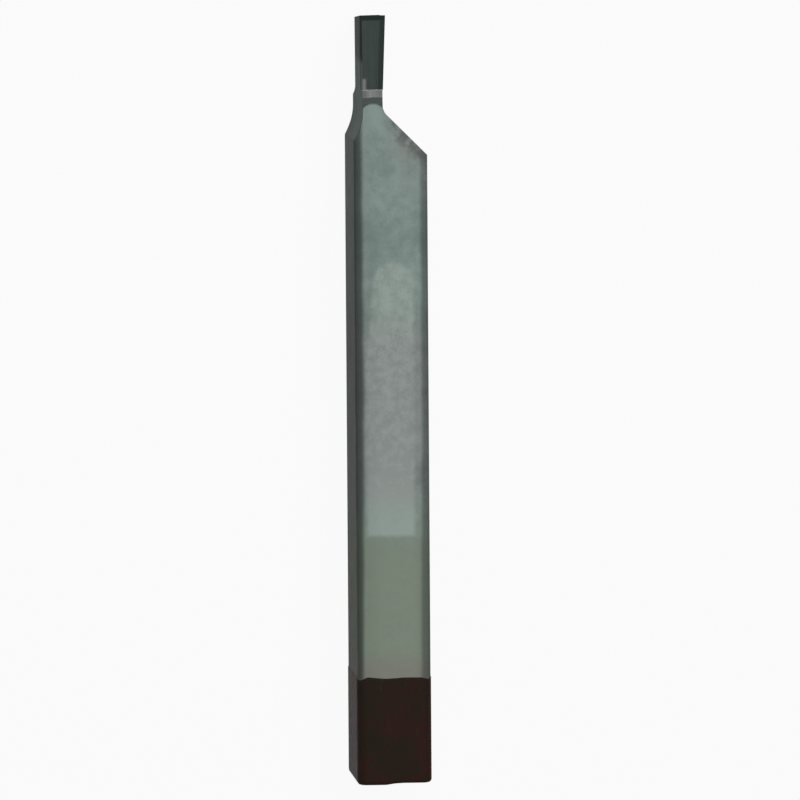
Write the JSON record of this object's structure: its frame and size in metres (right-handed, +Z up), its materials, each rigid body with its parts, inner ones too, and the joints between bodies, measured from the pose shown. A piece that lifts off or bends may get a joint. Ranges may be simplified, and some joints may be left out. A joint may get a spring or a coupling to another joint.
{
  "type": "brazed carbide parting tool",
  "caption": "Right-hand lathe parting tool: rectangular steel shank, narrow blade beside a sloping shoulder, and a carbide tip brazed into an open seat.",
  "frame": {"origin": "under the middle of the tool, on the face that it stands on", "axes": "+X out past the cutting edge, +Y to the side that the blade lies along, +Z up through the rake face"},
  "size_m": [0.125, 0.012, 0.02],
  "materials": {
    "shank_paint": "satin grey-green enamel on a steel bar, with the back end dipped dark maroon-brown",
    "carbide": "sintered carbide, dull dark grey with ground faces",
    "braze": "pale braze metal, ground flush"
  },
  "bodies": {
    "root": {"shank": "shank_paint", "carbide_tip": "carbide", "braze_layer": "braze"}
  },
  "joints": []
}
